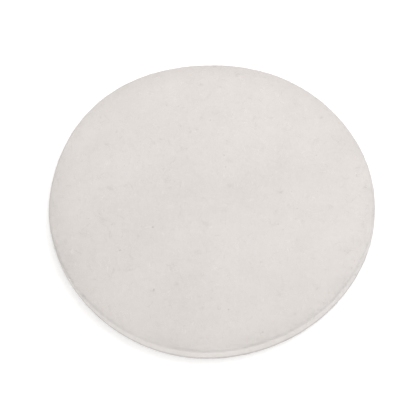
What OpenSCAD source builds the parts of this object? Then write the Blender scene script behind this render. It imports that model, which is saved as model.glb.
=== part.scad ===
// Self-adhesive felt polishing disc for a flat lapidary lap.
// The disc lies flat with its polishing face up: +Z is its axis, and the origin is the centre of
// the lowest face, which is the underside of the release liner.

/* [Felt] */
// Diameter of the disc
disc_d = 152.4; // [100:0.1:305]
// Thickness of the pressed wool felt
felt_t = 9.2; // [3:0.1:20]
// Radius of the soft edge round the polishing face
face_edge_r = 1.2; // [0.3:0.1:1.5]
// Radius of the cut edge round the back
back_edge_r = 0.4; // [0.1:0.1:1]

/* [Adhesive backing] */
// Thickness of the adhesive coat against the felt
felt_coat_t = 0.08; // [0.05:0.01:0.3]
// Thickness of the carrier film between the two coats
carrier_t = 0.05; // [0.02:0.01:0.2]
// Thickness of the adhesive coat that sticks to the lap plate
plate_coat_t = 0.08; // [0.05:0.01:0.3]

/* [Release liner] */
// Thickness of the coated liner paper
liner_t = 0.15; // [0.05:0.01:0.3]
// Width of the knife slit between the two liner halves
slit_w = 0.1; // [0.05:0.01:0.5]

/* [Hidden] */

$fn = 180;

disc_r = disc_d / 2;
// The backing covers the flat of the felt's back, inside its cut edge.
backing_r = disc_r - back_edge_r;

plate_coat_z = liner_t;
carrier_z = plate_coat_z + plate_coat_t;
felt_coat_z = carrier_z + carrier_t;
felt_z = felt_coat_z + felt_coat_t;

// Half of the felt's section, with a round at its upper and its lower outer corner.
module felt_section() {
  square([disc_r - face_edge_r, felt_t]);
  square([backing_r, felt_t - face_edge_r]);
  translate([0, back_edge_r])
    square([disc_r, felt_t - face_edge_r - back_edge_r]);
  translate([disc_r - face_edge_r, felt_t - face_edge_r])
    circle(face_edge_r);
  translate([backing_r, back_edge_r])
    circle(back_edge_r);
}

// One full round layer of the backing.
module backing_layer(thickness) {
  cylinder(r = backing_r, h = thickness);
}

// The half of the liner on the +X side of the slit.
module liner_half() {
  intersection() {
    backing_layer(liner_t);
    translate([slit_w / 2, -disc_r, 0])
      cube([disc_r, disc_d, liner_t]);
  }
}

module felt_disc() {
  color("#e1dcd8")
    translate([0, 0, felt_z])
      rotate_extrude()
        felt_section();
}

module felt_adhesive() {
  color("#e8e0c4")
    translate([0, 0, felt_coat_z])
      backing_layer(felt_coat_t);
}

module carrier_film() {
  color("#dfe4e6")
    translate([0, 0, carrier_z])
      backing_layer(carrier_t);
}

module plate_adhesive() {
  color("#e8e0c4")
    translate([0, 0, plate_coat_z])
      backing_layer(plate_coat_t);
}

module liner_left() {
  color("#efe9da")
    mirror([1, 0, 0])
      liner_half();
}

module liner_right() {
  color("#efe9da")
    liner_half();
}

felt_disc();
felt_adhesive();
carrier_film();
plate_adhesive();
liner_left();
liner_right();
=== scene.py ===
"""Looks of a self-adhesive felt polishing disc.

The disc is a pad of pressed wool felt on double-coated adhesive film, over a split release liner.
"""

import math

import bpy
import numpy as np
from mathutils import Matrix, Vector


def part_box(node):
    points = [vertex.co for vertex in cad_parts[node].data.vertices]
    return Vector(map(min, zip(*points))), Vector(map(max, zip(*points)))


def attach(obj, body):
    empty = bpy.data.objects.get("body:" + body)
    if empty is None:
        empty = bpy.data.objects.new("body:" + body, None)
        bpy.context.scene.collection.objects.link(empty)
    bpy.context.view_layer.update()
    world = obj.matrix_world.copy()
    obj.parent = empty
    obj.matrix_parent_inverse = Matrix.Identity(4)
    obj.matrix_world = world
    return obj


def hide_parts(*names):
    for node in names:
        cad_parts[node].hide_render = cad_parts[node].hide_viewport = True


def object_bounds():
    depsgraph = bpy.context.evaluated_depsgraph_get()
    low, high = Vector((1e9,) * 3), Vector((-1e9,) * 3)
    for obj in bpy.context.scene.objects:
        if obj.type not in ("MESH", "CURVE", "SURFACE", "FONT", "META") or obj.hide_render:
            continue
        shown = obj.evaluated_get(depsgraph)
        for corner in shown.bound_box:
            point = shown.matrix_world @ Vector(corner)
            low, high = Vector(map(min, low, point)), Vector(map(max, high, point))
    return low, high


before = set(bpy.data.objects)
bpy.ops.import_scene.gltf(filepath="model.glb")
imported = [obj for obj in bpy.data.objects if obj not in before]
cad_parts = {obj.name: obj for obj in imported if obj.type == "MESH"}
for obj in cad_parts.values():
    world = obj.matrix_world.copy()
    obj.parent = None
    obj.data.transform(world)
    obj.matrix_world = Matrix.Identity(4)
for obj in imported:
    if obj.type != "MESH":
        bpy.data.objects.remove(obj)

CAD_LOW, CAD_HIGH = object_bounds()
MM = 0.001
QUARTER_TURN = math.pi / 2

# ---------------------------------------------------------------- the felt's shape
FELT_LOW, FELT_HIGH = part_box("felt_disc")
FELT_RADIUS = (FELT_HIGH.x - FELT_LOW.x) / 2
FELT_BACK = FELT_LOW.z
FELT_FACE = FELT_HIGH.z
THICKNESS = CAD_HIGH.z - CAD_LOW.z

# From the centre out, the face is flat, then falls away a little, rolls over into the wall,
# and the wall turns in again at its foot.
FALL_WIDTH = 10.0 * MM
FALL_SLOPE = math.radians(9)
ROLL_RADIUS = 1.35 * MM
FOOT_RADIUS = 0.5 * MM

# Steps along each stretch of that section
FALL_STEPS = 39
ROLL_STEPS = 29
WALL_STEPS = 20
FOOT_STEPS = 19

# The die cut leaves the outline a little out of round: (swells in a turn, size, phase in degrees)
OUTLINE_SWELLS = (
    (2, 0.31 * MM, 70),
    (3, 0.47 * MM, 43),
    (4, 0.09 * MM, -162),
    (5, 0.26 * MM, -78),
    (6, 0.19 * MM, 50),
)
# It also leans: the face sits this far to the left of the back.
LEAN = 0.6 * MM

# ---------------------------------------------------------------- the felt's uneven surface
# A pattern is one or more sizes of noise: (height, width of one lump, seed).
SOFT_LUMPS = ((0.13 * MM, 30 * MM, 11), (0.055 * MM, 11 * MM, 12))
PEBBLES = ((0.030 * MM, 4.2 * MM, 13), (0.022 * MM, 2.2 * MM, 14))
FURROWS = ((-0.045 * MM, 5 * MM, 15), (-0.030 * MM, 2.8 * MM, 16))
WALL_LAYERS = ((0.06 * MM, 5 * MM, 17), (0.05 * MM, 2.4 * MM, 18))
# The wall's layers are this many times wider than they are thick.
LAYER_WIDTH = 5.0
# Pebbles and furrows are lower on the wall by this share.
WALL_SMOOTHING = 0.5

# A shallow crease runs round the rim where the face's skin ends, this far before the wall begins.
CREASE_ABOVE_WALL = 0.9 * MM
CREASE_DEPTH = 0.26 * MM
CREASE_WIDTH = 0.6 * MM
CREASE_WAVER = ((0.3 * MM, 8 * MM, 22),)
# Its strength is this all round, with this more in front, at degrees from +X, and varies in stretches.
CREASE_STRENGTH = 0.4
CREASE_MORE_IN_FRONT = 0.35
CREASE_FRONT = -60
CREASE_STRETCHES = ((0.45, 16 * MM, 2720), (0.3, 4 * MM, 19))
CREASE_LIMITS = (0.05, 1.5)

# How much darker the felt is there than in the middle of its face, as a share: darker towards the rim,
# painted shade in the crease and at the foot, and a little lighter on the wall
RIM_DARKENING = 0.034
CREASE_PAINTED_SHADE = 0.11
WALL_DARKENING = -0.01
FOOT_PAINTED_SHADE = 0.12
# The darkening towards the rim comes in patches: its mean, how it varies, and its least.
RIM_DARKENING_MEAN = 0.76
RIM_DARKENING_PATCHES = ((1.2, 24 * MM, 1279),)
RIM_DARKENING_LEAST = -0.2
# The crease's painted shade is wider than its dip, and the foot's painted shade is deepest at those
# degrees from +X.
CREASE_PAINTED_SHADE_WIDTH = 0.85 * MM
FOOT_FRONT = -70

# ---------------------------------------------------------------- the felt's grid
# Rings of points over the face, the roll and the wall
RINGS_FACE = 108
RINGS_ROLL = 18
RINGS_WALL = 24
RINGS = RINGS_FACE + RINGS_ROLL + RINGS_WALL
# The flat back's rings: each keeps one point in so many, and lies so far inside the last.
BACK_RINGS = ((4, 3 * MM), (5, 12 * MM), (5, 30 * MM))

# ---------------------------------------------------------------- the backing's shape
# How far the thin backing layers end inside the outline, and how ragged their cut edge is
BACKING_INSET = 0.55 * MM
BACKING_RAGGED = ((0.05 * MM, 3 * MM, 21),)
# Points round a layer's cut edge, and along the straight edge of half a layer
EDGE_POINTS = 360
SLIT_POINTS = 40
# The round edge of half a layer starts and ends this far from the slit, in radians.
SLIT_CORNER = 0.002

# ---------------------------------------------------------------- strands and flecks
# Ranges are (least, most). The fibres' length is their median, and has the spread of its logarithm.
FIBRE_LENGTH = 3.6 * MM
FIBRE_LENGTH_SPREAD = 0.4
FIBRE_CREST = (-0.005 * MM, 0.035 * MM)
FIBRE_RADIUS = 0.024 * MM
FIBRE_POINTS = 7
HAIR_LENGTH = (3.0 * MM, 6.0 * MM)
HAIR_RADIUS = 0.026 * MM
HAIR_POINTS = 8
# How high hair rises over its sunk ends, and how far a clump's strands start from its middle
HAIR_RISE = 0.07 * MM
HAIR_SCATTER = 0.35 * MM
FUZZ_LENGTH = (0.8 * MM, 2.4 * MM)
FUZZ_RADIUS = 0.020 * MM
FUZZ_POINTS = 6
# How far the most raised of the loose ends stand off the felt
FUZZ_REACH = 0.6 * MM
# How deep the ends of lying strands and the roots of loose ones are sunk in the felt
ENDS_SUNK = 0.05 * MM
ROOTS_SUNK = 0.08 * MM
# Lying strands rise as half a sine wave to this power, and loose ones as their length to this power.
LYING_POWER = 0.6
LOOSE_POWER = 1.4
# At each point a strand turns by its steady bend and at random, by this share of its usual bend.
WANDER = 0.6
# Strands stay this far short of the felt's foot.
FOOT_MARGIN = 0.2 * MM
# Sides of a strand, and the stretch of half a sine wave that its thickness follows
STRAND_SIDES = 3
TAPER = (0.12, 0.88)
# Keeps a length of nothing from being divided by
TINY = 1e-12

# Bits of straw and bark: (x, y, length) of the ones that show most, and how many small ones
LARGE_FLECKS = (
    (-26 * MM, -46 * MM, 1.9 * MM),
    (40 * MM, -4 * MM, 1.8 * MM),
    (-42 * MM, -26 * MM, 1.6 * MM),
    (-27 * MM, -14 * MM, 1.3 * MM),
    (7 * MM, 18 * MM, 1.1 * MM),
)
SMALL_FLECKS = 14
FLECK_CORNERS = 8
# Height of a fleck's rim over the felt, and of its top and bottom over that rim
FLECK_LIFT = 0.004 * MM
FLECK_TOP = 0.03 * MM
FLECK_BOTTOM = -0.06 * MM

# ---------------------------------------------------------------- colours, linear
WOOL_LIGHT = (0.746, 0.709, 0.684)
WOOL_DARK = (0.643, 0.606, 0.578)
FIBRE_LIGHT = (0.83, 0.80, 0.77)
FIBRE_TAN = (0.52, 0.47, 0.41)
HAIR_DARK = (0.54, 0.51, 0.48)
HAIR_LIGHT = (0.63, 0.60, 0.57)
TUFT_LIGHT = (0.95, 0.925, 0.90)
STRAW = (0.61, 0.575, 0.54)
BARK = (0.51, 0.475, 0.44)
GUM = (0.72, 0.70, 0.65)
GUM_MILKY = (0.77, 0.76, 0.73)
FILM_CLEAR = (0.66, 0.67, 0.67)
FILM_HAZE = (0.73, 0.735, 0.735)
LINER_CREAM = (0.73, 0.69, 0.61)
LINER_PALE = (0.80, 0.77, 0.70)
LINER_FIBRE = (0.85, 0.83, 0.78)
FLOOR_WHITE = (0.92, 0.92, 0.92)
WHITE = (1.0, 1.0, 1.0)

# Share of a strand's shade that is speckle along it
SPECKLE = 0.3
# Lines of fibre in a surface wind by this much, in waves so many to a millimetre.
LINE_WINDING = 2.4 * MM
LINE_WAVES_PER_MM = 0.5
# They are drawn out by this, tilted by these radians, and each lot is moved so far from the last.
LINE_STRETCH = (3.5, 1.0, 1.0)
LINE_TILT = (0.35, 0.25)
LINE_SHIFT = 13 * MM

# ---------------------------------------------------------------- the stage
# Half the floor's side, and how far it lies under the disc
FLOOR_HALF = 15.0
FLOOR_GAP = 0.02 * MM
# Strength of the floor's own glow, and of the light from all round
FLOOR_GLOW = 0.25
SURROUND = 0.65
# Degrees above the horizon, distance, and width seen across at the disc
CAMERA_ELEVATION = 62.5
CAMERA_DISTANCE = 0.9
SEEN_WIDTH = 0.1973
# The camera aims this far from the middle of the disc.
AIM_SHIFT = Vector((-0.7 * MM, -2.5 * MM, 0))


# ---------------------------------------------------------------- noise
NOISE_TABLE = 256
# Brings the noise's usual range out to about -1 to 1
NOISE_GAIN = 1.6
FURROW_SHARPNESS = 5


def noise(points, cell, seed):
    """Smooth lumps from about -1 to 1 over points, each lump about one cell wide."""
    rng = np.random.default_rng(seed)
    shuffled = rng.permutation(NOISE_TABLE)
    slopes = rng.normal(size=(NOISE_TABLE, 3))
    slopes /= np.linalg.norm(slopes, axis=1)[:, None]
    scaled = points / cell
    corner = np.floor(scaled).astype(int)
    inside = scaled - corner
    ease = inside**3 * (inside * (inside * 6 - 15) + 10)
    total = np.zeros(len(points))
    for step in np.ndindex(2, 2, 2):
        x, y, z = ((corner + step) % NOISE_TABLE).T
        pick = shuffled[(shuffled[(shuffled[x] + y) % NOISE_TABLE] + z) % NOISE_TABLE]
        weight = np.prod(np.where(step, ease, 1 - ease), axis=1)
        total += weight * np.sum(slopes[pick] * (inside - step), axis=1)
    return total * NOISE_GAIN


def furrows(points, cell, seed):
    """Thin winding lines from 0 to 1, where fibres pull together."""
    return np.clip(1 - FURROW_SHARPNESS * np.abs(noise(points, cell, seed)), 0, 1) ** 2


def summed(points, pattern, form=noise):
    """A pattern over points: its sizes of noise, or of another form, each times its height."""
    return sum(height * form(points, cell, seed) for height, cell, seed in pattern)


def ease_in(value, low, high):
    """0 at low, 1 at high, smooth between and held beyond."""
    share = np.clip((value - low) / (high - low), 0, 1)
    return share * share * (3 - 2 * share)


# ---------------------------------------------------------------- the section, by arc length
def make_profile():
    """Arc length, radius, height and slope along the felt's half section, from centre to foot."""
    fall = FALL_SLOPE * np.linspace(0, 1, FALL_STEPS + 1)[1:] ** 2
    roll = np.linspace(FALL_SLOPE, QUARTER_TURN, ROLL_STEPS + 1)[1:]
    wall = np.full(WALL_STEPS, QUARTER_TURN)
    foot = np.linspace(QUARTER_TURN, math.pi, FOOT_STEPS + 1)[1:]

    # The flat middle, which is the second step, and the wall take up what the bends leave over.
    slope = np.concatenate([np.zeros(2), fall, roll])
    steps = np.concatenate([
        np.zeros(2),
        np.full(FALL_STEPS, FALL_WIDTH / FALL_STEPS),
        np.full(ROLL_STEPS, ROLL_RADIUS * (QUARTER_TURN - FALL_SLOPE) / ROLL_STEPS),
    ])
    wall_first = len(steps)
    flat_width = FELT_RADIUS - np.cumsum(np.cos(slope) * steps)[-1]
    wall_height = FELT_FACE - np.cumsum(np.sin(slope) * steps)[-1] - FELT_BACK - FOOT_RADIUS
    steps[1] = flat_width

    slope = np.concatenate([slope, wall, foot])
    steps = np.concatenate([
        steps,
        np.full(WALL_STEPS, wall_height / WALL_STEPS),
        np.full(FOOT_STEPS, FOOT_RADIUS * QUARTER_TURN / FOOT_STEPS),
    ])
    along = np.cumsum(steps)
    return {
        "along": along,
        "radius": np.cumsum(np.cos(slope) * steps),
        "height": FELT_FACE - np.cumsum(np.sin(slope) * steps),
        "slope": slope,
        "roll_start": flat_width + FALL_WIDTH,
        "wall_start": along[wall_first - 1],
    }


PROFILE = make_profile()
ROLL_START = PROFILE["roll_start"]
WALL_START = PROFILE["wall_start"]
UNROLLED = PROFILE["along"][-1]
CREASE_MIDDLE = WALL_START - CREASE_ABOVE_WALL

# Where a darkening or painted shade comes in along the section: (arc length where it starts, where it is
# full)
RIM_DARKENING_BAND = (ROLL_START - 10 * MM, ROLL_START + 0.5 * MM)
WALL_BAND = (WALL_START, WALL_START + 1.2 * MM)
FOOT_BAND = (UNROLLED - 3.0 * MM, UNROLLED - 1.4 * MM)


def toward(base, degrees):
    """1 on the side of the rim at that many degrees from +X, -1 on the far side."""
    turn = np.arctan2(base[:, 1], base[:, 0])
    return np.cos(turn - math.radians(degrees))


def crease(base, along, width):
    """The crease round the rim, from 0 to about 1.

    It wavers, comes in stretches, and is strongest in front.
    """
    rim = base * np.array([1, 1, 0])
    middle = CREASE_MIDDLE + summed(rim, CREASE_WAVER)
    in_front = CREASE_MORE_IN_FRONT * toward(base, CREASE_FRONT)
    strength = CREASE_STRENGTH + in_front + summed(rim, CREASE_STRETCHES)
    return np.clip(strength, *CREASE_LIMITS) * np.exp(-(((along - middle) / width) ** 2))


def relief(base, along):
    """How far the felt's surface stands out of its smooth shape, in metres."""
    on_wall = ease_in(along, ROLL_START, WALL_START)
    fine = summed(base, PEBBLES) + summed(base, FURROWS, form=furrows)
    layers = summed(base * np.array([1, 1, LAYER_WIDTH]), WALL_LAYERS)
    out = summed(base, SOFT_LUMPS) + fine * (1 - WALL_SMOOTHING * on_wall) + layers * on_wall
    smooth_at_foot = np.clip((UNROLLED - along) / FOOT_RADIUS, 0, 1)
    return out * smooth_at_foot - CREASE_DEPTH * crease(base, along, CREASE_WIDTH)


def tone(base, along):
    """How much darker the felt is than in the middle of its face: towards the rim, painted shade in the
    crease and at the foot, and a little lighter on the wall.
    """
    on_wall = ease_in(along, *WALL_BAND)
    # Darker towards the rim of the face, in patches.
    pressed = ease_in(along, *RIM_DARKENING_BAND) * (1 - on_wall)
    patches = np.maximum(RIM_DARKENING_MEAN + summed(base, RIM_DARKENING_PATCHES), RIM_DARKENING_LEAST)
    # Painted shade in the crease round the rim.
    painted_crease_shade = CREASE_PAINTED_SHADE * crease(base, along, CREASE_PAINTED_SHADE_WIDTH)
    # Painted shade at the foot, deepest in front.
    foot = ease_in(along, *FOOT_BAND) * (FOOT_PAINTED_SHADE + FOOT_PAINTED_SHADE * toward(base, FOOT_FRONT))
    # The wall is a little lighter than the face.
    return RIM_DARKENING * pressed * patches + painted_crease_shade + WALL_DARKENING * on_wall + foot


def swell(turn):
    """How far the cut outline stands outside a true circle, in metres."""
    return sum(size * np.cos(count * turn - math.radians(phase)) for count, size, phase in OUTLINE_SWELLS)


def lean(height):
    """How far the cut carries a point to the right at that height."""
    return LEAN * (0.5 - (height - CAD_LOW.z) / THICKNESS)


def around(turn):
    """Flat vectors of length 1 that point outwards at those turns."""
    return np.stack([np.cos(turn), np.sin(turn), np.zeros(len(turn))], axis=1)


def on_felt(flat, lift):
    """Carries points of the unrolled felt onto its real shape, and lifts them off it.

    Gives the points, and the smooth shape's normal and the felt's tone at each, which holds its painted
    shade.
    """
    along = np.hypot(flat[:, 0], flat[:, 1])
    turn = np.arctan2(flat[:, 1], flat[:, 0])
    radius = np.interp(along, PROFILE["along"], PROFILE["radius"])
    height = np.interp(along, PROFILE["along"], PROFILE["height"])
    slope = np.interp(along, PROFILE["along"], PROFILE["slope"])
    outward = around(turn)
    base = outward * (radius + swell(turn) * radius / FELT_RADIUS)[:, None]
    base[:, 0] += lean(height)
    base[:, 2] = height
    normal = outward * np.sin(slope)[:, None]
    normal[:, 2] = np.cos(slope)
    points = base + normal * (relief(base, along) + lift)[:, None]
    points[:, 2] = np.maximum(points[:, 2], FELT_BACK)
    return points, normal, tone(base, along)


# ---------------------------------------------------------------- mesh helpers
def make_piece(name, points, faces, material, body, normals=None):
    """A smooth-shaded mesh piece that rides on a body.

    normals, one for each point, are for strands and flecks lit as the felt under them is.
    """
    mesh = bpy.data.meshes.new(name)
    mesh.from_pydata(points.tolist(), [], faces)
    mesh.validate()
    mesh.update()
    mesh.shade_smooth()
    if normals is not None:
        mesh.normals_split_custom_set_from_vertices(normals.tolist())
    mesh.materials.append(material)
    piece = bpy.data.objects.new(name, mesh)
    bpy.context.scene.collection.objects.link(piece)
    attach(piece, body)
    return piece


def paint(piece, name, values):
    """Gives each vertex a number for the material to read."""
    attribute = piece.data.attributes.new(name, "FLOAT", "POINT")
    attribute.data.foreach_set("value", values.astype(np.float32))


# ---------------------------------------------------------------- the felt
def felt_rings():
    """Arc length of each ring of the felt's grid, close together where the surface turns."""
    face = np.linspace(0, ROLL_START, RINGS_FACE + 1)
    roll = np.linspace(ROLL_START, WALL_START, RINGS_ROLL + 1)[1:]
    wall = np.linspace(WALL_START, UNROLLED, RINGS_WALL + 1)[1:]
    return np.concatenate([face, roll, wall])


def felt_grid():
    """A square grid laid over the unrolled felt as a disc, its outermost ring in order, and its faces."""
    side = np.arange(-RINGS, RINGS + 1)
    across, up = (grid.ravel() for grid in np.meshgrid(side, side, indexing="ij"))
    wide = np.abs(across) >= np.abs(up)
    ring = np.where(wide, across, up)
    other = np.where(wide, up, across)
    share = np.divide(other, ring, out=np.zeros(len(ring)), where=ring != 0)
    turn = np.where(wide, share * QUARTER_TURN / 2, QUARTER_TURN - share * QUARTER_TURN / 2)
    along = felt_rings()[np.abs(ring)] * np.sign(ring)
    flat = np.stack([along * np.cos(turn), along * np.sin(turn)], axis=1)
    number = np.arange(len(side) ** 2).reshape(len(side), len(side))
    quads = np.stack([number[:-1, :-1], number[1:, :-1], number[1:, 1:], number[:-1, 1:]], axis=-1)
    edge = np.concatenate([number[:-1, 0], number[-1, :-1], number[:0:-1, -1], number[0, :0:-1]])
    return flat, edge, quads.reshape(-1, 4).tolist()


def close_back(points, faces, edge):
    """Closes the felt's flat back with rings of fewer and fewer points."""
    ring = list(edge)
    radius = FELT_RADIUS - FOOT_RADIUS
    for step, inset in BACK_RINGS:
        radius -= inset
        corners = ring[::step]
        start = len(points)
        added = radius * around(np.arctan2(points[corners, 1], points[corners, 0]))
        added[:, 2] = FELT_BACK
        points = np.concatenate([points, added])
        inner = list(range(start, start + len(corners)))
        for i in range(len(corners)):
            outer = [ring[(i * step + j) % len(ring)] for j in range(step + 1)]
            faces.append([*reversed(outer), inner[i], inner[(i + 1) % len(inner)]])
        ring = inner
    faces.append(list(reversed(ring)))
    return points, faces


def felt_body(material):
    """The pressed felt itself, one closed mesh."""
    flat, edge, faces = felt_grid()
    points, _, tones = on_felt(flat, np.zeros(len(flat)))
    points, faces = close_back(points, faces, edge)
    felt = make_piece("felt", points, faces, material, "pad")
    back_tones = np.full(len(points) - len(tones), tones[-1])
    paint(felt, "tone", np.concatenate([tones, back_tones]))
    return felt


# ---------------------------------------------------------------- the backing
def cut_edge(turn, height):
    """The ragged cut edge of a thin backing layer at that height."""
    outward = around(turn)
    ragged = summed(outward * FELT_RADIUS, BACKING_RAGGED)
    edge = outward * (FELT_RADIUS - BACKING_INSET + swell(turn) + ragged)[:, None]
    edge[:, 0] += lean(height)
    return edge[:, :2]


def half_outline(low, high, side):
    """The outline of half a layer: its cut edge on that side, -1 or 1, and its edge at the slit."""
    straight = low.x if side > 0 else high.x
    middle = 0 if side > 0 else math.pi
    half_turn = QUARTER_TURN - SLIT_CORNER
    loop = cut_edge(np.linspace(-half_turn, half_turn, EDGE_POINTS // 2 + 1) + middle, low.z)
    loop[0, 0] = loop[-1, 0] = straight
    slit = np.linspace(loop[-1], loop[0], SLIT_POINTS + 2)[1:-1]
    slit[:, 0] = straight
    return np.concatenate([loop, slit])


def thin_layer(node, body, material, side=None):
    """A thin backing layer in place of its CAD node, with the felt's own outline.

    side is -1 or 1 for half a layer.
    """
    low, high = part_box(node)
    if side is None:
        loop = cut_edge(np.linspace(0, math.tau, EDGE_POINTS + 1)[:-1], low.z)
    else:
        loop = half_outline(low, high, side)
    count = len(loop)
    points = np.column_stack([np.tile(loop, (2, 1)), np.repeat([low.z, high.z], count)])
    number = np.arange(count)
    after = np.roll(number, -1)
    faces = np.stack([number, after, after + count, number + count], axis=1).tolist()
    faces += [list(range(count - 1, -1, -1)), list(range(count, 2 * count))]
    piece = make_piece(node + "_layer", points, faces, material, body)
    piece.data.shade_flat()
    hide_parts(node)


# ---------------------------------------------------------------- strands: fibres, hair and fuzz
def scattered(rng, count, outer, inner=0):
    """Random points of the unrolled felt between two arc lengths, evenly spread."""
    along = np.sqrt(rng.uniform(inner**2, outer**2, count))
    turn = rng.uniform(0, math.tau, count)
    return np.stack([along * np.cos(turn), along * np.sin(turn)], axis=1)


def lying_rise(count):
    """The rise of a lying strand at each of count points: 0 at both ends, 1 in the middle."""
    return np.sin(np.linspace(0, math.pi, count)) ** LYING_POWER


def lifted(crest, rise, sunk):
    """Each strand's heights over the felt, from sunk below it up to its crest as rise says."""
    return -sunk + (crest[:, None] + sunk) * rise[None]


def strand_paths(rng, starts, length, lift, curl, heading=None, bend=None):
    """Curling paths over the felt from starts on the unrolled felt.

    lift is each point's height over the felt, and curl the usual bend at each point, in radians.
    """
    strands, count = lift.shape
    heading = rng.uniform(0, math.tau, strands) if heading is None else heading
    bend = rng.normal(0, curl, strands) if bend is None else bend
    at = starts.copy()
    flat = []
    for _ in range(count):
        flat.append(at.copy())
        heading = heading + bend + rng.normal(0, curl * WANDER, strands)
        at += np.stack([np.cos(heading), np.sin(heading)], axis=1) * (length / (count - 1))[:, None]
    flat = np.stack(flat, axis=1).reshape(-1, 2)
    reach = np.hypot(flat[:, 0], flat[:, 1])
    flat *= np.minimum(1, (UNROLLED - FOOT_MARGIN) / np.maximum(reach, MM))[:, None]
    points, normals, tones = on_felt(flat, lift.reshape(-1))
    shape = (strands, count, 3)
    return points.reshape(shape), normals.reshape(shape), tones


def tubes(paths, normals, radii):
    """Closed tubes along paths of shape (strands, points, 3), thinner at both ends."""
    strands, count, _ = paths.shape
    tangent = np.gradient(paths, axis=1)
    tangent /= np.linalg.norm(tangent, axis=2)[..., None] + TINY
    beside = np.cross(tangent, normals)
    beside /= np.linalg.norm(beside, axis=2)[..., None] + TINY
    above = np.cross(beside, tangent)
    taper = np.sin(np.linspace(*TAPER, count) * math.pi) ** 0.5
    thick = (radii[:, None] * taper[None])[..., None]
    corners = []
    for corner in range(STRAND_SIDES):
        turn = QUARTER_TURN + corner * math.tau / STRAND_SIDES
        corners.append(paths + thick * (math.cos(turn) * beside + math.sin(turn) * above))
    points = np.stack(corners, axis=2).reshape(-1, 3)
    number = np.arange(len(points)).reshape(strands, count, STRAND_SIDES)
    after = np.roll(number, -1, axis=2)
    sides = np.stack([number[:, :-1], number[:, 1:], after[:, 1:], after[:, :-1]], axis=-1)
    caps = np.concatenate([number[:, 0], number[:, -1, ::-1]])
    return points, sides.reshape(-1, 4).tolist() + caps.tolist()


def strand_piece(name, rng, starts, length, lift, radii, material, curl, heading=None, bend=None):
    """A piece made of many strands, each with its own shade and the felt's tone where it lies, painted
    shade included.
    """
    paths, normals, tones = strand_paths(rng, starts, length, lift, curl, heading, bend)
    points, faces = tubes(paths, normals, radii)
    lit_as = np.repeat(normals.reshape(-1, 3), STRAND_SIDES, axis=0)
    piece = make_piece(name, points, faces, material, "pad", lit_as)
    shades = rng.uniform(0, 1, len(starts))
    paint(piece, "shade", np.repeat(shades, lift.shape[1] * STRAND_SIDES))
    paint(piece, "tone", np.repeat(tones, STRAND_SIDES))


def lying_fibres(name, seed, count, material):
    """Wool fibres that lie on the face, half sunk in it, with their ends buried."""
    rng = np.random.default_rng(seed)
    length = rng.lognormal(math.log(FIBRE_LENGTH), FIBRE_LENGTH_SPREAD, count)
    crest = rng.uniform(*FIBRE_CREST, count)
    lift = lifted(crest, lying_rise(FIBRE_POINTS), ENDS_SUNK)
    radii = FIBRE_RADIUS * rng.uniform(0.7, 1.3, count)
    starts = scattered(rng, count, ROLL_START)
    strand_piece(name, rng, starts, length, lift, radii, material, curl=0.33)


def wisps(name, seed, clumps, strands, outer, material):
    """Clumps of hair matted into the felt: a few strands that curl side by side."""
    rng = np.random.default_rng(seed)
    count = clumps * strands
    middles = np.repeat(scattered(rng, clumps, outer), strands, axis=0)
    starts = middles + rng.normal(0, HAIR_SCATTER, (count, 2))
    size = rng.uniform(0.5, 1.4, clumps)
    length = np.repeat(size, strands) * rng.uniform(*HAIR_LENGTH, count)
    # The strands of a clump share its heading and its bend, give or take a little.
    heading = np.repeat(rng.uniform(0, math.tau, clumps), strands) + rng.normal(0, 0.25, count)
    bend = np.repeat(rng.normal(0, 0.3, clumps), strands) + rng.normal(0, 0.06, count)
    lift = np.outer(rng.uniform(0.6, 1, count), lying_rise(HAIR_POINTS)) * HAIR_RISE - ENDS_SUNK
    radii = HAIR_RADIUS * rng.uniform(0.7, 1.3, count)
    strand_piece(name, rng, starts, length, lift, radii, material, curl=0.1, heading=heading, bend=bend)


def raised_fibres(name, seed, count, inner, outer, material):
    """Short loose ends that stand a little off the felt."""
    rng = np.random.default_rng(seed)
    length = rng.uniform(*FUZZ_LENGTH, count)
    crest = rng.uniform(0.15, 1, count) ** 2 * FUZZ_REACH
    lift = lifted(crest, np.linspace(0, 1, FUZZ_POINTS) ** LOOSE_POWER, ROOTS_SUNK)
    radii = FUZZ_RADIUS * rng.uniform(0.7, 1.2, count)
    starts = scattered(rng, count, outer, inner)
    strand_piece(name, rng, starts, length, lift, radii, material, curl=0.4)


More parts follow.
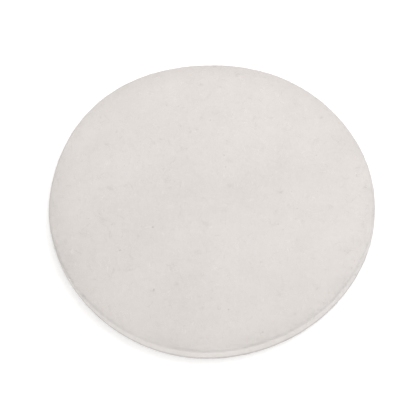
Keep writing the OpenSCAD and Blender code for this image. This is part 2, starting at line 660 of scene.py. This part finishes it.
# ---------------------------------------------------------------- flecks
def flecks(name, seed, material):
    """The bits of straw and bark, each a small flat closed lozenge."""
    rng = np.random.default_rng(seed)
    large = np.array(LARGE_FLECKS)
    starts = np.concatenate([large[:, :2], scattered(rng, SMALL_FLECKS, ROLL_START)])
    length = np.concatenate([large[:, 2], rng.uniform(0.6, 1.0, SMALL_FLECKS) * MM]) / 2
    count = len(starts)
    middle, normals, tones = on_felt(starts, np.full(count, FLECK_LIFT))
    long_way = around(rng.uniform(0, math.tau, count))
    long_way -= normals * np.sum(long_way * normals, axis=1)[:, None]
    long_way /= np.linalg.norm(long_way, axis=1)[:, None]
    cross_way = np.cross(normals, long_way)
    turn = np.arange(FLECK_CORNERS) / FLECK_CORNERS * math.tau
    ragged = rng.uniform(0.7, 1.2, (count, FLECK_CORNERS))
    width = length * rng.uniform(0.3, 0.6, count)
    rim = (
        middle[:, None]
        + long_way[:, None] * (np.cos(turn) * ragged * length[:, None])[..., None]
        + cross_way[:, None] * (np.sin(turn) * ragged * width[:, None])[..., None]
    )
    top = middle + normals * FLECK_TOP
    bottom = middle + normals * FLECK_BOTTOM
    points = np.concatenate([rim, top[:, None], bottom[:, None]], axis=1)
    faces = []
    for fleck in range(count):
        first = fleck * (FLECK_CORNERS + 2)
        for i in range(FLECK_CORNERS):
            here = first + i
            after = first + (i + 1) % FLECK_CORNERS
            faces.append((here, after, first + FLECK_CORNERS))
            faces.append((after, here, first + FLECK_CORNERS + 1))
    lit_as = np.repeat(normals, FLECK_CORNERS + 2, axis=0)
    piece = make_piece(name, points.reshape(-1, 3), faces, material, "pad", lit_as)
    paint(piece, "shade", np.repeat(rng.uniform(0, 1, count), FLECK_CORNERS + 2))
    paint(piece, "tone", np.repeat(tones, FLECK_CORNERS + 2))


# ---------------------------------------------------------------- shader helpers
def new_material(name, roughness, specular):
    """A material with one Principled shader, and what is needed to wire it."""
    material = bpy.data.materials.new(name)
    material.use_nodes = True
    shader = material.node_tree.nodes["Principled BSDF"]
    shader.inputs["Roughness"].default_value = roughness
    shader.inputs["Specular IOR Level"].default_value = specular
    return material, material.node_tree, shader


def wire(tree, value, socket):
    """Sets a socket to a number or a plain colour, or links another socket to it."""
    if isinstance(value, bpy.types.NodeSocket):
        tree.links.new(value, socket)
    elif isinstance(value, tuple):
        socket.default_value = (*value, 1)
    else:
        socket.default_value = value


def add_node(tree, kind, values=(), **settings):
    """A node with its settings and the values of its inputs."""
    node = tree.nodes.new(kind)
    for name, value in settings.items():
        setattr(node, name, value)
    for name, value in dict(values).items():
        node.inputs[name].default_value = value
    return node


def object_place(tree):
    """Coordinates in metres in the object's own frame."""
    return add_node(tree, "ShaderNodeTexCoord").outputs["Object"]


def painted(tree, name):
    """The number painted on each vertex under that name."""
    return add_node(tree, "ShaderNodeAttribute", attribute_name=name).outputs["Fac"]


def noise_node(tree, place, per_mm, detail=3.0, roughness=0.5):
    """A noise whose lumps repeat per_mm times a millimetre, from 0 to 1."""
    values = {"Scale": per_mm / MM, "Detail": detail, "Roughness": roughness}
    node = add_node(tree, "ShaderNodeTexNoise", values)
    tree.links.new(place, node.inputs["Vector"])
    return node.outputs["Fac"]


def maths(tree, operation, *values):
    """One Math node on sockets or numbers."""
    node = add_node(tree, "ShaderNodeMath", operation=operation)
    for value, socket in zip(values, node.inputs):
        wire(tree, value, socket)
    return node.outputs[0]


def colour_socket(sockets, name):
    """The colour socket of that name on a mix node, which has one of each kind."""
    return next(socket for socket in sockets if socket.name == name and socket.type == "RGBA")


def mix_colour(tree, share, first, second, blend="MIX"):
    """One colour mix of sockets or plain colours."""
    node = add_node(tree, "ShaderNodeMix", data_type="RGBA", blend_type=blend)
    wire(tree, share, node.inputs["Factor"])
    wire(tree, first, colour_socket(node.inputs, "A"))
    wire(tree, second, colour_socket(node.inputs, "B"))
    return colour_socket(node.outputs, "Result")


def spread(tree, value, low, high):
    """value stretched so that low becomes 0 and high becomes 1, and held there."""
    node = add_node(tree, "ShaderNodeMapRange", {"From Min": low, "From Max": high}, clamp=True)
    tree.links.new(value, node.inputs["Value"])
    return node.outputs["Result"]


def add_bump(tree, shader, height, strength, distance):
    """Bumps the surface by height, whose 0 to 1 stands for that distance."""
    bump = add_node(tree, "ShaderNodeBump", {"Strength": strength, "Distance": distance})
    tree.links.new(height, bump.inputs["Height"])
    tree.links.new(bump.outputs["Normal"], shader.inputs["Normal"])


def vary_roughness(tree, shader, value, lowest, span):
    """Roughness that follows value, from lowest at 0 to span more at 1."""
    tree.links.new(maths(tree, "MULTIPLY_ADD", value, span, lowest), shader.inputs["Roughness"])


def fibre_lines(tree, place, turn, shift, per_mm, width):
    """Fine winding fibre ridges that run mostly one way, from 0 to 1."""
    waves = {"Scale": LINE_WAVES_PER_MM / MM, "Detail": 1.0}
    warp = add_node(tree, "ShaderNodeTexNoise", waves)
    tree.links.new(place, warp.inputs["Vector"])
    winding = add_node(tree, "ShaderNodeVectorMath", operation="MULTIPLY_ADD")
    tree.links.new(warp.outputs["Color"], winding.inputs[0])
    winding.inputs[1].default_value = (LINE_WINDING,) * 3
    tree.links.new(place, winding.inputs[2])
    turned = add_node(tree, "ShaderNodeMapping", vector_type="TEXTURE")
    turned.inputs["Rotation"].default_value = (*LINE_TILT, turn)
    turned.inputs["Location"].default_value = (shift, shift * 2, 0)
    turned.inputs["Scale"].default_value = LINE_STRETCH
    tree.links.new(winding.outputs[0], turned.inputs["Vector"])
    strands = noise_node(tree, turned.outputs[0], per_mm, detail=0.0)
    off_centre = maths(tree, "ABSOLUTE", maths(tree, "SUBTRACT", strands, 0.5))
    return spread(tree, off_centre, width, 0.0)


def tangle(tree, place, turns, per_mm, width):
    """Fibre ridges that lie across one another at those turns, in radians, from 0 to 1."""
    lines = None
    for i, turn in enumerate(turns):
        strand = fibre_lines(tree, place, turn, LINE_SHIFT * (i + 1), per_mm, width)
        lines = strand if lines is None else maths(tree, "MAXIMUM", lines, strand)
    return lines


def darkened(tree, colour):
    """colour, darker by the tone painted on the piece: towards the felt's rim, and painted shade in its
    crease and at its foot.
    """
    kept_light = maths(tree, "SUBTRACT", 1.0, painted(tree, "tone"))
    return mix_colour(tree, 1.0, colour, kept_light, "MULTIPLY")


def own_shade(tree, per_mm):
    """Each strand's or fleck's own shade, from 0 to 1, with a little speckle along it."""
    speckle = spread(tree, noise_node(tree, object_place(tree), per_mm, detail=2.0), 0.35, 0.65)
    plain = maths(tree, "MULTIPLY", painted(tree, "shade"), 1 - SPECKLE)
    return maths(tree, "MULTIPLY_ADD", speckle, SPECKLE, plain)


# ---------------------------------------------------------------- materials
def felt_material():
    """Undyed pressed wool: off-white, faintly mottled, matt, with matted fibres in its bump."""
    material, tree, shader = new_material("wool_felt", roughness=0.95, specular=0.2)
    place = object_place(tree)
    mottle = spread(tree, noise_node(tree, place, 0.022, detail=6.0, roughness=0.72), 0.2, 0.8)
    colour = mix_colour(tree, mottle, WOOL_DARK, WOOL_LIGHT)
    coarse_lines = tangle(tree, place, (0.2, 1.3, 2.3), per_mm=1.3, width=0.03)
    fine_lines = tangle(tree, place, (0.7, 1.7, 2.8), per_mm=3.0, width=0.06)
    lines = maths(tree, "MAXIMUM", coarse_lines, maths(tree, "MULTIPLY", fine_lines, 0.7))
    colour = mix_colour(tree, maths(tree, "MULTIPLY", lines, 0.35), colour, WOOL_LIGHT)
    # The base colour carries painted shade in the crease and at the foot, and darkens towards the rim.
    tree.links.new(darkened(tree, colour), shader.inputs["Base Color"])
    shader.inputs["Sheen Weight"].default_value = 0.2
    shader.inputs["Sheen Roughness"].default_value = 0.6
    grain = noise_node(tree, place, 2.4, roughness=0.65)
    height = maths(tree, "ADD", maths(tree, "MULTIPLY", lines, 0.8), grain)
    add_bump(tree, shader, height, strength=0.6, distance=0.09 * MM)
    vary_roughness(tree, shader, grain, lowest=0.88, span=0.1)
    return material


def fibre_material():
    """Single wool fibres, each a little lighter or darker than the next, and a few of them tan."""
    material, tree, shader = new_material("wool_fibre", roughness=0.85, specular=0.2)
    colour = mix_colour(tree, own_shade(tree, 0.8), WOOL_LIGHT, FIBRE_LIGHT)
    colour = mix_colour(tree, spread(tree, painted(tree, "shade"), 0.90, 0.93), colour, FIBRE_TAN)
    tree.links.new(darkened(tree, colour), shader.inputs["Base Color"])
    shader.inputs["Sheen Weight"].default_value = 0.2
    return material


def speckled_material(name, first, second, roughness, per_mm):
    """Hair, straw or bark: each strand or fleck has its own shade between two colours.

    per_mm is how many speckles there are to a millimetre along it.
    """
    material, tree, shader = new_material(name, roughness, specular=0.2)
    colour = mix_colour(tree, own_shade(tree, per_mm), first, second)
    tree.links.new(darkened(tree, colour), shader.inputs["Base Color"])
    return material


def adhesive_material(name, shift):
    """Clear acrylic adhesive: faintly milky, tacky and softly shiny, with coating streaks.

    shift, in metres, makes one coat's streaks differ from another's.
    """
    material, tree, shader = new_material(name, roughness=0.35, specular=0.5)
    place = object_place(tree)
    drawn_out = add_node(tree, "ShaderNodeMapping")
    drawn_out.inputs["Location"].default_value = (shift, 0, 0)
    drawn_out.inputs["Scale"].default_value = (0.12, 1.0, 1.0)
    tree.links.new(place, drawn_out.inputs["Vector"])
    streaks = spread(tree, noise_node(tree, drawn_out.outputs[0], 0.5), 0.3, 0.7)
    orange_peel = noise_node(tree, place, 0.9, detail=2.0)
    tree.links.new(mix_colour(tree, streaks, GUM, GUM_MILKY), shader.inputs["Base Color"])
    add_bump(tree, shader, orange_peel, strength=0.3, distance=0.02 * MM)
    vary_roughness(tree, shader, streaks, lowest=0.28, span=0.15)
    return material


def film_material():
    """Clear polyester film, slightly hazy, with fine winding marks."""
    material, tree, shader = new_material("film", roughness=0.2, specular=0.5)
    place = object_place(tree)
    haze = spread(tree, noise_node(tree, place, 0.05, roughness=0.6), 0.3, 0.7)
    scuffs = noise_node(tree, place, 1.5, roughness=0.7)
    tree.links.new(mix_colour(tree, haze, FILM_CLEAR, FILM_HAZE), shader.inputs["Base Color"])
    add_bump(tree, shader, scuffs, strength=0.1, distance=0.01 * MM)
    vary_roughness(tree, shader, scuffs, lowest=0.12, span=0.12)
    return material


def liner_material():
    """Release paper: cloudy with its own short fibres, silicone coated to a satin shine."""
    material, tree, shader = new_material("liner_paper", roughness=0.45, specular=0.5)
    place = object_place(tree)
    clouds = noise_node(tree, place, 0.28, detail=6.0, roughness=0.75)
    grain = noise_node(tree, place, 3.0, roughness=0.6)
    lines = maths(tree, "MULTIPLY", tangle(tree, place, (0.1, 1.1, 2.2), per_mm=1.6, width=0.04), 0.6)
    colour = mix_colour(tree, spread(tree, clouds, 0.3, 0.7), LINER_CREAM, LINER_PALE)
    colour = mix_colour(tree, lines, colour, LINER_FIBRE)
    tree.links.new(colour, shader.inputs["Base Color"])
    add_bump(tree, shader, maths(tree, "ADD", grain, lines), strength=0.5, distance=0.03 * MM)
    vary_roughness(tree, shader, clouds, lowest=0.30, span=0.3)
    return material


# ---------------------------------------------------------------- the pieces
def add_backing():
    """The three layers stuck to the felt, and the two halves of the liner."""
    inner_gum = adhesive_material("felt_adhesive", shift=0.31)
    outer_gum = adhesive_material("plate_adhesive", shift=0.77)
    paper = liner_material()
    thin_layer("felt_adhesive", "pad", inner_gum)
    thin_layer("carrier_film", "pad", film_material())
    thin_layer("plate_adhesive", "pad", outer_gum)
    thin_layer("liner_left", "liner_half_left", paper, side=-1)
    thin_layer("liner_right", "liner_half_right", paper, side=1)


def add_felt():
    """The felt, and the flecks, hair and loose fibres in its surface."""
    felt = felt_body(felt_material())
    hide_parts("felt_disc")
    fibre = fibre_material()
    fleck = speckled_material("fleck", STRAW, BARK, roughness=0.8, per_mm=4.0)
    dark_hair = speckled_material("dark_hair", HAIR_DARK, HAIR_LIGHT, roughness=0.85, per_mm=0.8)
    light_hair = speckled_material("light_hair", WOOL_LIGHT, TUFT_LIGHT, roughness=0.85, per_mm=0.8)
    inside_rim = ROLL_START - 2 * MM
    fuzz_from = ROLL_START - 3 * MM
    fuzz_to = UNROLLED - 1.2 * MM
    flecks("flecks", seed=33, material=fleck)
    wisps("dark_wisps", seed=34, clumps=60, strands=8, outer=inside_rim, material=dark_hair)
    wisps("light_wisps", seed=35, clumps=210, strands=9, outer=ROLL_START, material=light_hair)
    lying_fibres("face_fibres", seed=31, count=5200, material=fibre)
    raised_fibres("edge_fuzz", seed=32, count=4000, inner=fuzz_from, outer=fuzz_to, material=fibre)


# ---------------------------------------------------------------- stage, lights and camera
def add_floor():
    """A wide pale floor under the disc, faintly lit from below as a light table is."""
    mesh = bpy.data.meshes.new("floor")
    corners = [(x * FLOOR_HALF, y * FLOOR_HALF, 0) for x, y in ((-1, -1), (1, -1), (1, 1), (-1, 1))]
    mesh.from_pydata(corners, [], [(0, 1, 2, 3)])
    material, tree, shader = new_material("floor", roughness=0.9, specular=0.1)
    wire(tree, FLOOR_WHITE, shader.inputs["Base Color"])
    wire(tree, WHITE, shader.inputs["Emission Color"])
    shader.inputs["Emission Strength"].default_value = FLOOR_GLOW
    mesh.materials.append(material)
    floor = bpy.data.objects.new("floor", mesh)
    floor.location.z = CAD_LOW.z - FLOOR_GAP
    bpy.context.scene.collection.objects.link(floor)


def set_up(thing, place, direction):
    """Puts a lamp or camera in the scene at a place, pointing in a direction, with +Y up."""
    thing.location = place
    thing.rotation_mode = "QUATERNION"
    thing.rotation_quaternion = direction.to_track_quat("-Z", "Y")
    bpy.context.scene.collection.objects.link(thing)


def add_light(name, place, size, power):
    """A soft square lamp that points at the middle of the disc's underside."""
    lamp = bpy.data.lights.new(name, "AREA")
    lamp.shape = "SQUARE"
    lamp.size = size
    lamp.energy = power
    light = bpy.data.objects.new(name, lamp)
    light.visible_camera = False
    set_up(light, place, -Vector(place))


def add_world(strength):
    """Even white light from all round."""
    world = bpy.data.worlds.new("studio")
    world.use_nodes = True
    background = world.node_tree.nodes["Background"]
    wire(world.node_tree, WHITE, background.inputs["Color"])
    background.inputs["Strength"].default_value = strength
    bpy.context.scene.world = world


def add_camera(elevation, distance, width, aim):
    """A camera that looks along +Y and down, and sees width metres across at the disc."""
    camera = bpy.data.cameras.new("camera")
    camera.sensor_width = 36
    camera.lens = camera.sensor_width * distance / width
    camera.clip_start = 0.01
    camera.clip_end = 100
    eye = bpy.data.objects.new("camera", camera)
    down = math.radians(elevation)
    away = Vector((0, -math.cos(down), math.sin(down)))
    set_up(eye, aim + away * distance, -away)
    bpy.context.scene.camera = eye


add_backing()
add_felt()

bpy.context.scene.view_settings.view_transform = "Standard"
add_floor()
add_world(SURROUND)
add_light("key", (0.12, 0.17, 0.47), size=0.42, power=1.365)
add_light("front_fill", (0.05, -1.95, 0.7), size=0.9, power=10.5)
add_camera(CAMERA_ELEVATION, CAMERA_DISTANCE, SEEN_WIDTH, (CAD_LOW + CAD_HIGH) / 2 + AIM_SHIFT)
